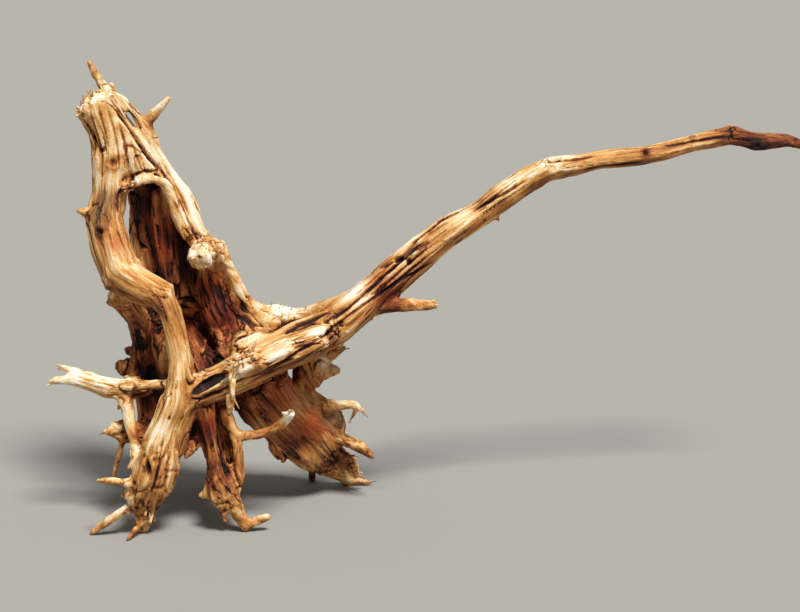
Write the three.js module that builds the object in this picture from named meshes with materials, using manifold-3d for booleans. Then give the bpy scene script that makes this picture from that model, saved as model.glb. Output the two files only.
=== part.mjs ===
// Driftwood: a weathered root crown with a hollow, leaning trunk and one long bare branch.
// It grew as one piece of wood, so it is one solid. Millimetres, +Z up, the front faces -Y,
// and the origin is the middle of the footprint box at ground level.

import * as THREE from "three";
import { mergeVertices } from "three/addons/utils/BufferGeometryUtils.js";
import Module from "manifold-3d";

// Driving dimensions.
const LENGTH = 612;         // mm, tip of the left branch to the tip of the long branch
const GIRTH = 1;            // thickness of every limb against the half widths below
const FACE_TILT = 15;       // degrees, flattened limbs face the front and this much upwards
const TWIST = 4;            // radians the flutes of a limb turn from one end to the other
const KNOBBLE = 0.035;      // uneven thickness, as a share of the half width
const END_BULGE = 0.35;     // how far an end swells out, as a share of the half width
const THINNEST = 0.3;       // mm, no limb is drawn thinner than this half width
const SPLINTER_SIDES = 5;   // faces of one pointed splinter at a snapped end
const SPLINTER_SUNK = 4;    // mm of a splinter that stays inside the limb
const SPLINTER_SEED = 11;   // the same splinters come out every time
const WOOD_COLOUR = 0x9b6f4d;
const WOOD_ROUGHNESS = 0.85;

// A limb is a line of points [x, y, z, half width] in millimetres, from its first end to its last.
// Its form gives the number of faces round it, its depth against its width as seen from the front,
// and the grooves that run along it.
function limb(name, form, line) {
  return { name, form, line };
}

// Trunk: the front limb runs from the snapped crown down into the front root, the right rim and the slab
// run behind it, and a thin back wall and rib close the hollow from the rear.
const TRUNK = [
  limb("front limb", { sides: 13, depth: 0.9, flutes: 3, fluteDepth: 0.07 }, [
    [-270, 4, 336, 13.7], [-263, 6, 330, 14.9], [-256, 6, 315, 14.2], [-254, 4, 299, 13.4],
    [-253, 2, 282, 13.7], [-254, -2, 263, 13.4], [-258, -7, 243, 15.8], [-253, -14, 224, 16.2],
    [-245, -22, 206, 17.7], [-228, -30, 196, 14.5], [-212, -36, 191, 12.1], [-205, -40, 178, 10],
    [-201, -43, 161, 9.4], [-198, -46, 141, 10], [-197, -49, 123, 12.6], [-200, -52, 108, 14.1],
    [-207, -55, 93, 13.4], [-213, -58, 79, 15.3], [-215, -59, 62, 17.3], [-221, -59, 46, 17.8],
    [-228, -57, 29, 14.3], [-229, -54, 16, 7.6], [-230, -52, 7, 6.4], [-232, -52, -3, 3.2],
  ]),
  limb("right rim", { sides: 10, depth: 1.1, flutes: 3, fluteDepth: 0.08 }, [
    [-256, 8, 344, 6.3], [-245, 10, 335, 6.7], [-233, 12, 323, 7.1], [-225, 12, 312, 7.5],
    [-221, 12, 297, 7.5], [-212, 13, 279, 7.9], [-200, 14, 259, 8.8], [-194, 13, 245, 8.8],
    [-190, 10, 232, 8.8], [-182, 6, 219, 10.4],
  ]),
  limb("crown web", { sides: 12, depth: 0.7, flutes: 5, fluteDepth: 0.06 }, [
    [-260, 4, 340, 11.7], [-250, 3, 319, 14.1], [-240, 3, 299, 16.5], [-230, 6, 278, 17.4],
  ]),
  limb("arch lip", { sides: 8 }, [
    [-243, -10, 269, 3.9], [-235, -8, 274, 3.9], [-227, -5, 277, 3.5], [-220, -2, 277, 3.5],
    [-212, 0, 274, 3.9], [-207, 2, 266, 4.4], [-203, 2, 253, 4.8], [-198, 2, 240, 5.6],
    [-192, 0, 229, 6.4],
  ]),
  limb("back wall", { sides: 14, depth: 0.28 }, [
    [-253, 16, 332, 8.7], [-242, 24, 298, 17.5], [-229, 28, 272, 19.2], [-220, 31, 253, 22.9],
    [-219, 31, 232, 26.6], [-214, 30, 212, 30.8], [-207, 28, 187, 37.3], [-200, 26, 163, 43.9],
    [-196, 23, 134, 46.5], [-194, 20, 105, 42.5], [-191, 16, 82, 34.4],
  ]),
  limb("back rib", { sides: 10, depth: 0.8, flutes: 4, fluteDepth: 0.1 }, [
    [-253, 20, 325, 7.1], [-241, 31, 295, 11.2], [-227, 40, 259, 13.7], [-218, 44, 217, 16.3],
    [-207, 44, 166, 19.7], [-197, 42, 124, 21.4], [-188, 40, 77, 19.9],
  ]),
  limb("back left wall", { sides: 10, depth: 0.8, flutes: 4, fluteDepth: 0.07 }, [
    [-249, -14, 185, 9.5], [-235, -2, 163, 9.6], [-230, 4, 143, 12.1], [-228, 6, 122, 13],
    [-228, 4, 101, 13.8], [-226, -2, 82, 13], [-226, -12, 71, 12.1], [-226, -24, 63, 9.6],
  ]),
  limb("elbow bump", { sides: 8 }, [
    [-240, -18, 187, 10.3], [-252, -16, 182, 6.3], [-256, -16, 178, 3.2],
  ]),
  limb("inner panel", { sides: 10, depth: 0.5, flutes: 4, fluteDepth: 0.08 }, [
    [-215, 18, 264, 8.8], [-213, 18, 246, 11.2], [-212, 17, 223, 12.4], [-210, 15, 203, 11.3],
    [-207, 12, 187, 6.4],
  ]),
  limb("right slab", { sides: 16, depth: 0.45, flutes: 5, fluteDepth: 0.08 }, [
    [-179, 9, 220, 9.6], [-176, 10, 210, 12.8], [-174, 11, 196, 15.7], [-169, 12, 176, 19.7],
    [-161, 10, 158, 23], [-148, 2, 143, 24.2], [-136, -8, 128, 22.5],
  ]),
  limb("slab rim", { sides: 8 }, [
    [-179, 4, 226, 4.8], [-168, 4, 221, 6.4], [-162, 5, 205, 5.6], [-157, 6, 191, 5.6],
    [-150, 7, 176, 5.6], [-139, 8, 163, 5.6], [-123, 4, 153, 7.2],
  ]),
  limb("knot stub", { sides: 12, facing: [0, 0, 1] }, [
    [-177, 4, 215, 12], [-179, -10, 220, 11.9], [-181, -22, 219, 11], [-182, -30, 217, 8.6],
  ]),
  limb("pale base", { sides: 8, flutes: 3, fluteDepth: 0.08 }, [
    [-149, 12, 168, 8.1], [-133, 14, 161, 9.9], [-120, 14, 159, 10.9], [-106, 12, 158, 9.3],
    [-91, 4, 165, 8.8], [-77, -2, 173, 7.6], [-63, -5, 182, 6.4],
  ]),
];

// Small spikes and twigs of the crown and the front limb.
const CROWN = [
  limb("crown spike", { sides: 8 }, [
    [-253, 10, 340, 5.1], [-259, 10, 350, 4.4], [-263, 10, 357, 3.8], [-269, 10, 369, 1.6],
  ]),
  limb("crown nub", { sides: 6 }, [
    [-251, 12, 342, 3.9], [-252, 12, 351, 1.7],
  ]),
  limb("crown twig", { sides: 8 }, [
    [-228, 12, 315, 6.3], [-220, 12, 325, 5.1], [-215, 11, 330, 3.6], [-206, 10, 340, 2.4],
  ]),
  limb("strut stub", { sides: 8 }, [
    [-264, -8, 248, 6.3], [-271, -10, 251, 3.9], [-276, -11, 253, 2.4], [-281, -11, 255, 0.9],
  ]),
  limb("strut nub", { sides: 6 }, [
    [-262, 0, 308, 4.7], [-269, -1, 310, 1.4],
  ]),
];

// The long branch, the broken limb lying along it, its twig and thorn, and the splinters that hang from it.
const BRANCH = [
  limb("long branch", { sides: 11, flutes: 4, fluteDepth: 0.06 }, [
    [-203, -48, 106, 11], [-190, -47, 113, 13.4], [-171, -44, 121, 14.2], [-144, -36, 132, 15.8],
    [-104, -24, 150, 16.7], [-73, -14, 163, 15.9], [-41, -5, 189, 14.5], [-9, 3, 215, 13.6],
    [15, 8, 233, 12.2], [39, 13, 246, 11.2], [55, 16, 258, 11.2], [79, 21, 273, 10.5],
    [92, 23, 280, 9.8], [115, 27, 282, 9.2], [135, 30, 286, 8], [168, 35, 288, 8.3], [190, 38, 292, 8],
    [216, 42, 299, 7.5], [242, 45, 303, 9.3], [253, 47, 300, 8.1], [263, 48, 297, 8.5],
    [274, 49, 298, 6.9], [288, 50, 298, 5.8], [305, 52, 293, 3.6],
  ]),
  limb("broken limb", { sides: 10, flutes: 4, fluteDepth: 0.07 }, [
    [-154, -48, 130, 7.9], [-133, -52, 141, 10.2], [-111, -48, 150, 11], [-94, -42, 154, 9.4],
    [-82, -38, 157, 6.7],
  ]),
  limb("branch twig", { sides: 8 }, [
    [-51, -8, 174, 7.6], [-31, -10, 176, 6.4], [-15, -10, 176, 5.3], [-4, -10, 176, 4.6],
    [4, -10, 177, 3.7],
  ]),
  limb("branch thorn", { sides: 6 }, [
    [43, 10, 249, 5.6], [51, 10, 244, 3.6], [56, 10, 239, 0.8],
  ]),
  limb("branch knot", { sides: 8, facing: [0, -1, 0] }, [
    [259, 48, 298, 6.5], [262, 43, 293, 4.4],
  ]),
  limb("branch seat", { sides: 10, depth: 0.8 }, [
    [-155, -22, 147, 12.7], [-139, -26, 144, 13.5], [-120, -26, 145, 11.1],
  ]),
  limb("hanging splinter", { sides: 7 }, [
    [-153, -60, 145, 5.1], [-157, -63, 133, 3.7], [-156, -63, 122, 3.4], [-157, -62, 111, 3.3],
    [-159, -62, 100, 1.6],
  ]),
  limb("splinter seat", { sides: 8 }, [
    [-160, -48, 132, 7.8], [-150, -50, 142, 7.8], [-138, -50, 147, 6.3],
  ]),
  limb("pale strip", { sides: 6 }, [
    [-139, -58, 150, 3.5], [-135, -62, 143, 3.1], [-132, -62, 135, 1.6],
  ]),
];

// Left side: a snapped branch with two prongs, a bleached root under it, burls and claws.
const LEFT_SIDE = [
  limb("left branch", { sides: 9, flutes: 3, fluteDepth: 0.08 }, [
    [-224, -16, 109, 6.4], [-242, -24, 110, 9.2], [-256, -26, 112, 8.8], [-268, -26, 116, 7.2],
    [-280, -26, 119, 6], [-285, -26, 121, 4],
  ]),
  limb("left prong up", { sides: 8 }, [
    [-270, -24, 119, 5.6], [-283, -23, 124, 4], [-295, -22, 129, 2.2],
  ]),
  limb("left prong low", { sides: 8 }, [
    [-270, -27, 115, 4.8], [-286, -27, 119, 4.8], [-298, -27, 119, 3.7], [-305, -27, 117, 1.6],
  ]),
  limb("left lip", { sides: 8 }, [
    [-251, -30, 115, 4.8], [-235, -33, 116, 4], [-221, -37, 118, 4], [-207, -41, 120, 4.7],
  ]),
  limb("bleached root", { sides: 8, flutes: 3, fluteDepth: 0.08 }, [
    [-245, -28, 108, 7.2], [-241, -34, 96, 5.4], [-239, -40, 86, 5.2], [-235, -46, 74, 5],
    [-234, -52, 62, 5.4], [-232, -58, 56, 4.7], [-226, -62, 49, 3.2],
  ]),
  limb("bleached prong", { sides: 6 }, [
    [-235, -55, 60, 4], [-239, -57, 56, 2.4], [-242, -57, 51, 1],
  ]),
  limb("burl", { sides: 8 }, [
    [-235, 4, 118, 8.1], [-247, 2, 120, 8.1], [-254, 2, 122, 4],
  ]),
  limb("burl top", { sides: 7 }, [
    [-238, 4, 132, 5.2], [-244, 4, 135, 3.7], [-247, 4, 136, 2],
  ]),
  limb("burl seat", { sides: 7 }, [
    [-234, -8, 112, 7.2], [-246, -14, 114, 5.6],
  ]),
  limb("claw up", { sides: 7 }, [
    [-234, -18, 74, 8], [-247, -26, 81, 6.4], [-258, -28, 82, 1.6],
  ]),
  limb("claw low", { sides: 7 }, [
    [-234, -20, 68, 6.4], [-249, -28, 73, 4.6], [-258, -30, 77, 3.2], [-267, -30, 75, 1.4],
  ]),
  limb("claw top", { sides: 6 }, [
    [-242, -26, 101, 4.8], [-249, -26, 96, 2.7], [-252, -26, 92, 1],
  ]),
  limb("rootlet", { sides: 6 }, [
    [-245, -28, 76, 4], [-248, -28, 64, 2.7], [-252, -28, 51, 2.2], [-256, -29, 37, 1.6],
  ]),
];

// Roots at the front: twigs of the front root, the arch beside it, the middle root and the curl root.
const FRONT_ROOTS = [
  limb("stump core", { sides: 12, depth: 0.75 }, [
    [-209, 8, 161, 6.4], [-204, 6, 143, 19.4], [-198, 0, 118, 27.5], [-190, -4, 99, 29.1],
    [-186, 0, 79, 23.5], [-186, 0, 65, 16.3], [-188, -6, 59, 8.1],
  ]),
  limb("front lobe", { sides: 9 }, [
    [-221, -58, 48, 12.6], [-232, -59, 40, 11.1], [-239, -59, 34, 7.1], [-246, -59, 35, 2.8],
  ]),
  limb("front twig long", { sides: 8 }, [
    [-231, -60, 27, 5.5], [-244, -61, 21, 4.1], [-257, -60, 12, 3.5], [-271, -58, 1, 2.2],
  ]),
  limb("front twig dark", { sides: 6 }, [
    [-230, -58, 12, 3.6], [-236, -66, 5, 2.1], [-241, -73, 0, 1.6],
  ]),
  limb("front twig left", { sides: 8 }, [
    [-229, -62, 43, 5.5], [-244, -65, 47, 3.5], [-254, -68, 49, 3], [-264, -70, 50, 2],
  ]),
  limb("front heel", { sides: 7 }, [
    [-227, -56, 22, 7.1], [-223, -56, 13, 4.8], [-220, -56, 8, 1.2],
  ]),
  limb("arch strand", { sides: 8 }, [
    [-188, -46, 100, 5.5], [-193, -50, 90, 5.1], [-196, -52, 77, 4.7], [-200, -54, 65, 4.7],
  ]),
  limb("arch web", { sides: 9 }, [
    [-185, -26, 82, 12], [-189, -32, 72, 8], [-192, -42, 66, 5.6], [-196, -48, 60, 2],
  ]),
  limb("mid root left", { sides: 9, flutes: 3, fluteDepth: 0.08 }, [
    [-180, -42, 102, 9.5], [-177, -44, 87, 7.5], [-173, -46, 71, 7.1], [-170, -48, 55, 8.7],
    [-168, -50, 40, 12.7], [-167, -51, 30, 11.9], [-164, -52, 23, 7.2],
  ]),
  limb("mid root flank", { sides: 7 }, [
    [-182, -32, 84, 6.4], [-180, -38, 71, 4.8], [-177, -44, 60, 3.2],
  ]),
  limb("mid root right", { sides: 8, flutes: 3, fluteDepth: 0.08 }, [
    [-165, -34, 96, 7.2], [-159, -39, 83, 6], [-155, -43, 71, 5.2], [-154, -46, 59, 5.2],
    [-155, -48, 44, 6.8], [-160, -51, 32, 7.2],
  ]),
  limb("mid root web", { sides: 8, depth: 0.5 }, [
    [-174, -26, 94, 12], [-168, -30, 70, 12], [-164, -36, 51, 11.2], [-164, -44, 36, 9.6],
  ]),
  limb("mid root spike", { sides: 6 }, [
    [-176, -50, 34, 5.6], [-182, -51, 31, 3.2], [-186, -51, 30, 1.2],
  ]),
  limb("mid root bump", { sides: 6 }, [
    [-157, -48, 46, 4.8], [-148, -48, 45, 1.4],
  ]),
  limb("mid toe", { sides: 8 }, [
    [-162, -52, 34, 9.5], [-157, -52, 24, 7.6], [-153, -51, 14, 6.4], [-147, -50, 5, 5.6],
    [-139, -50, 9, 4.5], [-129, -51, 13, 3.2],
  ]),
  limb("mid toe small", { sides: 7 }, [
    [-169, -52, 27, 6.4], [-166, -53, 17, 3.8], [-163, -54, 8, 1.4],
  ]),
  limb("curl root", { sides: 8 }, [
    [-158, -42, 77, 4.4], [-147, -40, 77, 4], [-138, -38, 77, 4], [-128, -38, 80, 4.1],
    [-120, -40, 86, 4.4], [-114, -44, 93, 4.4], [-110, -48, 99, 3.5],
  ]),
  limb("curl fork", { sides: 6 }, [
    [-114, -45, 95, 3.2], [-120, -48, 100, 0.9],
  ]),
];

// Right root: a broad buttress with a flange behind it, spurs round its rim, a foot and a peg.
const RIGHT_ROOT = [
  limb("buttress", { sides: 14, depth: 0.7, flutes: 4, fluteDepth: 0.05 }, [
    [-164, 4, 140, 19.4], [-147, -6, 125, 21.7], [-137, -4, 103, 25.8], [-130, 3, 89, 26],
    [-113, 14, 69, 25.4], [-100, 24, 55, 27.2], [-92, 32, 42, 24.9], [-86, 38, 31, 16.7],
  ]),
  limb("flange", { sides: 9, depth: 0.8 }, [
    [-111, 8, 134, 9.7], [-105, 12, 120, 8.1], [-105, 16, 107, 9], [-100, 19, 92, 7.4],
    [-90, 20, 82, 7.8], [-80, 22, 72, 9.9], [-76, 25, 59, 9.1],
  ]),
  limb("flare spur", { sides: 8 }, [
    [-87, 15, 82, 6.5], [-79, 13, 85, 5.7], [-70, 12, 86, 4.6], [-61, 10, 87, 3.3], [-54, 8, 80, 1.2],
  ]),
  limb("flare leg", { sides: 6 }, [
    [-59, 10, 87, 2.4], [-67, 14, 69, 1.6],
  ]),
  limb("mid spur", { sides: 8 }, [
    [-80, 26, 53, 9.1], [-68, 23, 51, 6.2], [-57, 20, 47, 5.8], [-46, 18, 38, 2],
  ]),
  limb("low foot", { sides: 10 }, [
    [-92, 36, 34, 10.8], [-81, 46, 21, 8.8], [-71, 57, 8, 5.9], [-67, 62, -1, 5.1],
  ]),
  limb("low spur", { sides: 7 }, [
    [-92, 44, 22, 6.7], [-79, 52, 12, 5.5], [-64, 58, 5, 3.4], [-51, 58, 3, 2], [-39, 58, 5, 0.8],
  ]),
  limb("low chunk", { sides: 8 }, [
    [-78, 32, 41, 7.5], [-68, 36, 28, 6.7], [-61, 44, 13, 3.4],
  ]),
  limb("dark spur", { sides: 6 }, [
    [-76, 30, 39, 4.1], [-66, 30, 37, 2.3], [-54, 30, 33, 0.8],
  ]),
  limb("peg", { sides: 8 }, [
    [-99, 44, 28, 5], [-99, 58, 13, 3.5], [-100, 73, -2, 2.9],
  ]),
  limb("under chunk", { sides: 8 }, [
    [-123, 6, 65, 7.3], [-125, 8, 54, 9], [-123, 10, 44, 6.6], [-120, 12, 36, 1.8],
  ]),
  limb("rear chunk", { sides: 9 }, [
    [-108, 12, 129, 11.4], [-94, 14, 120, 11.8], [-84, 14, 114, 8.1], [-73, 12, 116, 2],
  ]),
  limb("rear chunk low", { sides: 8 }, [
    [-98, 14, 120, 11.4], [-93, 14, 108, 8.1], [-94, 14, 99, 2.4],
  ]),
  limb("rear spike", { sides: 7 }, [
    [-90, 12, 126, 8.1], [-78, 11, 131, 4.9], [-69, 10, 136, 1.9],
  ]),
];

// Three roots at the rear that carry the weight on the far side.
const REAR_ROOTS = [
  limb("rear root left", { sides: 9, flutes: 4, fluteDepth: 0.09 }, [
    [-205, 24, 121, 18], [-211, 26, 90, 18.1], [-218, 34, 57, 14.1], [-228, 44, 28, 10.9],
    [-235, 50, 8, 8.4], [-236, 53, -4, 7.6],
  ]),
  limb("rear root middle", { sides: 9, flutes: 4, fluteDepth: 0.09 }, [
    [-190, 34, 113, 19.7], [-185, 34, 83, 19], [-180, 44, 50, 14.2], [-177, 55, 22, 10.1],
    [-176, 62, 5, 7.6], [-176, 65, -5, 6.8],
  ]),
  limb("rear root right", { sides: 9, flutes: 4, fluteDepth: 0.09 }, [
    [-176, 26, 146, 17.9], [-158, 26, 120, 19.6], [-134, 32, 91, 19.8], [-112, 44, 59, 16.7],
    [-94, 52, 32, 11.8],
  ]),
];

// Hollows cut out of the wood: a slit in the crown, two channels in the branch, a dish in the right root.
const HOLLOWS = [
  limb("crown window", { sides: 6, depth: 22 }, [
    [-242, 10, 331, 0.6], [-238, 10, 325, 2.2], [-234, 10, 318, 2], [-231, 10, 312, 0.6],
  ]),
  limb("branch channel", { sides: 8, depth: 2 }, [
    [-115, -36, 163, 1.6], [-101, -35, 170, 3.9], [-90, -31, 176, 4.3], [-76, -26, 182, 3.2],
    [-61, -20, 190, 1.2],
  ]),
  limb("branch hollow", { sides: 8, depth: 1.8 }, [
    [-186, -60, 118, 1.6], [-178, -61, 125, 4.7], [-169, -60, 130, 5.1], [-159, -56, 136, 2.3],
  ]),
  limb("buttress dish", { sides: 10, depth: 0.7 }, [
    [-107, -22, 77, 4.8], [-102, -10, 63, 12.9], [-97, 0, 51, 13], [-93, 10, 40, 5.7],
  ]),
];
// The ends that snapped off and left pointed splinters.
const SNAPPED_ENDS = [
  { of: "front limb", atStart: true, count: 10, length: 8 },
  { of: "broken limb", atStart: false, count: 5, length: 5 },
  { of: "knot stub", atStart: false, count: 6, length: 4 },
  { of: "branch twig", atStart: false, count: 3, length: 5 },
];

const tilt = THREE.MathUtils.degToRad(FACE_TILT);
const FRONT = new THREE.Vector3(0, -Math.cos(tilt), Math.sin(tilt));

const wasm = await Module();
wasm.setup();

// Repeatable random numbers from 0 to 1.
let seed = SPLINTER_SEED;
function random() {
  seed = (seed * 16807) % 2147483647;
  return seed / 2147483647;
}

function point(entry) {
  return new THREE.Vector3(entry[0], entry[1], entry[2]);
}

// A cylinder bent along the limb's line, swelling and narrowing with the half widths.
function limbGeometry({ form, line }) {
  const facing = form.facing ? point(form.facing).normalize() : FRONT;
  const depth = form.depth ?? 1;
  const flutes = form.flutes ?? 0;
  const fluteDepth = form.fluteDepth ?? 0;
  const path = new THREE.CatmullRomCurve3(line.map(point), false, "centripetal");
  const halfWidths = line.map((entry) => new THREE.Vector3(entry[3], 0, 0));
  const girth = new THREE.CatmullRomCurve3(halfWidths, false, "catmullrom");
  const geometry = new THREE.CylinderGeometry(1, 1, 1, form.sides, line.length - 1);
  geometry.deleteAttribute("normal");
  geometry.deleteAttribute("uv");
  const places = geometry.getAttribute("position");
  const spot = new THREE.Vector3();
  for (let i = 0; i < places.count; i++) {
    spot.fromBufferAttribute(places, i);
    const along = THREE.MathUtils.clamp(spot.y + 0.5, 0, 1);
    const round = Math.atan2(spot.z, spot.x);
    const tangent = path.getTangent(along);
    const across = tangent.clone().cross(facing).normalize();
    const outward = across.clone().cross(tangent);
    const groove = fluteDepth * Math.cos(flutes * round + TWIST * along);
    const uneven = KNOBBLE * Math.sin(2 * round + 9 * along + line[0][0]);
    const width = Math.max(THINNEST, girth.getPoint(along).x * GIRTH) * (1 + groove + uneven);
    const isCapCentre = Math.hypot(spot.x, spot.z) < 0.5;
    const bulge = isCapCentre ? Math.sign(spot.y) * END_BULGE * width : 0;
    const place = path.getPoint(along).addScaledVector(tangent, bulge);
    place.addScaledVector(across, spot.x * width).addScaledVector(outward, spot.z * width * depth);
    places.setXYZ(i, place.x, place.y, place.z);
  }
  return geometry;
}

// Pointed splinters set round the rim of a snapped end, all pointing out along the limb.
function splinterGeometries({ line }, { atStart, count, length }) {
  const end = atStart ? line[0] : line[line.length - 1];
  const before = atStart ? line[1] : line[line.length - 2];
  const outward = point(end).sub(point(before)).normalize();
  const across = outward.clone().cross(FRONT).normalize();
  const upward = across.clone().cross(outward);
  const turn = new THREE.Quaternion().setFromUnitVectors(new THREE.Vector3(0, 1, 0), outward);
  const splinters = [];
  for (let i = 0; i < count; i++) {
    const round = (2 * Math.PI * (i + 0.6 * random())) / count;
    const tall = length * (0.6 + 0.8 * random()) + SPLINTER_SUNK;
    const reach = end[3] * GIRTH * (0.6 + 0.2 * random());
    const splinter = new THREE.ConeGeometry(0.28 * end[3] * GIRTH, tall, SPLINTER_SIDES);
    splinter.deleteAttribute("normal");
    splinter.deleteAttribute("uv");
    splinter.translate(0, tall / 2 - SPLINTER_SUNK, 0);
    splinter.applyQuaternion(turn);
    const seat = point(end).addScaledVector(across, reach * Math.cos(round));
    seat.addScaledVector(upward, reach * Math.sin(round));
    splinter.translate(seat.x, seat.y, seat.z);
    splinters.push(splinter);
  }
  return splinters;
}

// A closed geometry as a solid that can be joined and cut.
function solid(geometry) {
  const merged = mergeVertices(geometry, 1e-4);
  return new wasm.Manifold(new wasm.Mesh({
    numProp: 3,
    vertProperties: merged.getAttribute("position").array,
    triVerts: new Uint32Array(merged.index.array),
  }));
}

// Join every limb and splinter, then cut the hollows and the flats the feet stand on.
const limbs = [TRUNK, CROWN, BRANCH, LEFT_SIDE, FRONT_ROOTS, RIGHT_ROOT, REAR_ROOTS].flat();
let wood = solid(limbGeometry(limbs[0]));
for (const part of limbs.slice(1)) {
  wood = wood.add(solid(limbGeometry(part)));
}
for (const snapped of SNAPPED_ENDS) {
  const owner = limbs.find((part) => part.name === snapped.of);
  for (const splinter of splinterGeometries(owner, snapped)) {
    wood = wood.add(solid(splinter));
  }
}
for (const hollow of HOLLOWS) {
  wood = wood.subtract(solid(limbGeometry(hollow)));
}
const ground = new THREE.BoxGeometry(2 * LENGTH, LENGTH, LENGTH).translate(0, 0, -LENGTH / 2);
ground.deleteAttribute("normal");
ground.deleteAttribute("uv");
wood = wood.subtract(solid(ground));

// The joined wood as one mesh, brought to its length and stood on the origin.
const shell = wood.getMesh();
const geometry = new THREE.BufferGeometry();
geometry.setAttribute("position", new THREE.BufferAttribute(shell.vertProperties, 3));
geometry.setIndex(new THREE.BufferAttribute(shell.triVerts, 1));
geometry.computeBoundingBox();
const drawn = geometry.boundingBox;
const middle = drawn.getCenter(new THREE.Vector3());
const stretch = LENGTH / (drawn.max.x - drawn.min.x);
geometry.translate(-middle.x, -middle.y, -drawn.min.z);
geometry.scale(stretch, stretch, stretch);
geometry.computeVertexNormals();

const driftwood = new THREE.Mesh(
  geometry,
  new THREE.MeshStandardMaterial({ color: WOOD_COLOUR, roughness: WOOD_ROUGHNESS, metalness: 0 }),
);
driftwood.name = "driftwood";

const group = new THREE.Group();
group.add(driftwood);

export default group;
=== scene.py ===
"""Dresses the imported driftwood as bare, weathered root wood on a plain studio floor."""

import math
import random

import bmesh
import bpy
import numpy as np
from mathutils import Matrix, Vector, kdtree, noise
from mathutils.bvhtree import BVHTree


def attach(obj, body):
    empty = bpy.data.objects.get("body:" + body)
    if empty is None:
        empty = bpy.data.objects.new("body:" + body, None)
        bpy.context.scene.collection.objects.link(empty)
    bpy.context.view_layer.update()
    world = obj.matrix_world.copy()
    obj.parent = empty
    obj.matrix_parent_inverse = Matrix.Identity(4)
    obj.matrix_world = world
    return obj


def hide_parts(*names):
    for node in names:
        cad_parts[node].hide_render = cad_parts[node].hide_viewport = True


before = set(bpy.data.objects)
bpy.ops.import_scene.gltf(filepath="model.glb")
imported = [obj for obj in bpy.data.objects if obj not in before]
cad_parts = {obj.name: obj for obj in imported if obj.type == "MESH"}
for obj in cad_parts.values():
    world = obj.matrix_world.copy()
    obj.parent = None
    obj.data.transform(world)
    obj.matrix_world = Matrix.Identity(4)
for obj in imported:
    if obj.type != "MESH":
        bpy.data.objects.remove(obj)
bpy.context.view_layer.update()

bl_info = {
    "name": "Driftwood",
    "version": (1, 0, 0),
    "blender": (4, 5, 0),
    "location": "View3D > Sidebar > Driftwood",
    "description": "Weathered root wood with a hollow trunk and one long branch",
    "category": "Object",
}

MM = 0.001
NODE = "driftwood"
WOOD_FINISH = "weathered_root_wood"
# Share of the way along a limb that goes into its grain, so that a pattern changes slowly from end to end.
GRAIN_DRIFT = 0.05

# Lines in millimetres that the grain follows on the thick parts of the wood, each with its half width.
GRAIN_LINES = (
    (
        14,
        (
            (-268, 4, 338), (-254, 4, 300), (-257, -6, 245),
            (-243, -22, 205), (-212, -36, 190), (-199, -45, 150),
        ),
    ),
    (14, ((-199, -45, 150), (-199, -52, 108), (-214, -58, 75), (-225, -58, 35), (-231, -52, 0))),
    (14, ((-262, 8, 345), (-228, 8, 300), (-203, 12, 262), (-184, 8, 222), (-164, 8, 195), (-135, 8, 162))),
    (20, ((-178, 10, 215), (-172, 10, 180), (-155, 6, 152), (-132, -10, 128))),
    (20, ((-253, 18, 328), (-225, 36, 262), (-210, 38, 180), (-195, 34, 120), (-188, 30, 75))),
    (12, ((-249, -14, 185), (-229, 4, 135), (-226, -12, 70))),
    (12, ((-215, 18, 268), (-212, 16, 225), (-205, 10, 180))),
    (24, ((-206, 6, 155), (-192, -2, 100), (-187, -2, 60))),
    (14, ((-203, -48, 106), (-144, -36, 132), (-73, -14, 163), (-9, 3, 215), (55, 16, 258), (92, 23, 280))),
    (9, ((92, 23, 280), (135, 30, 286), (190, 38, 292), (242, 45, 303), (263, 48, 297), (330, 55, 290))),
    (8, ((-200, -10, 106), (-256, -26, 112), (-320, -27, 118))),
    (8, ((-165, 14, 158), (-120, 14, 159), (-91, 4, 165), (-50, -6, 190))),
    (8, ((-60, -8, 172), (20, -10, 177))),
    (9, ((-110, 8, 136), (-105, 16, 107), (-88, 20, 80), (-50, 14, 60))),
    (9, ((-154, -48, 130), (-111, -48, 150), (-82, -38, 157))),
    (22, ((-160, 0, 140), (-140, -4, 110), (-125, 8, 85), (-105, 22, 60), (-86, 38, 30))),
    (12, ((-178, -42, 100), (-168, -48, 50), (-150, -51, 8))),
    (16, ((-205, 24, 121), (-215, 30, 70), (-236, 52, 0))),
    (16, ((-190, 34, 113), (-182, 40, 60), (-176, 64, 0))),
    (16, ((-176, 26, 146), (-135, 32, 92), (-94, 52, 32))),
)
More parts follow.
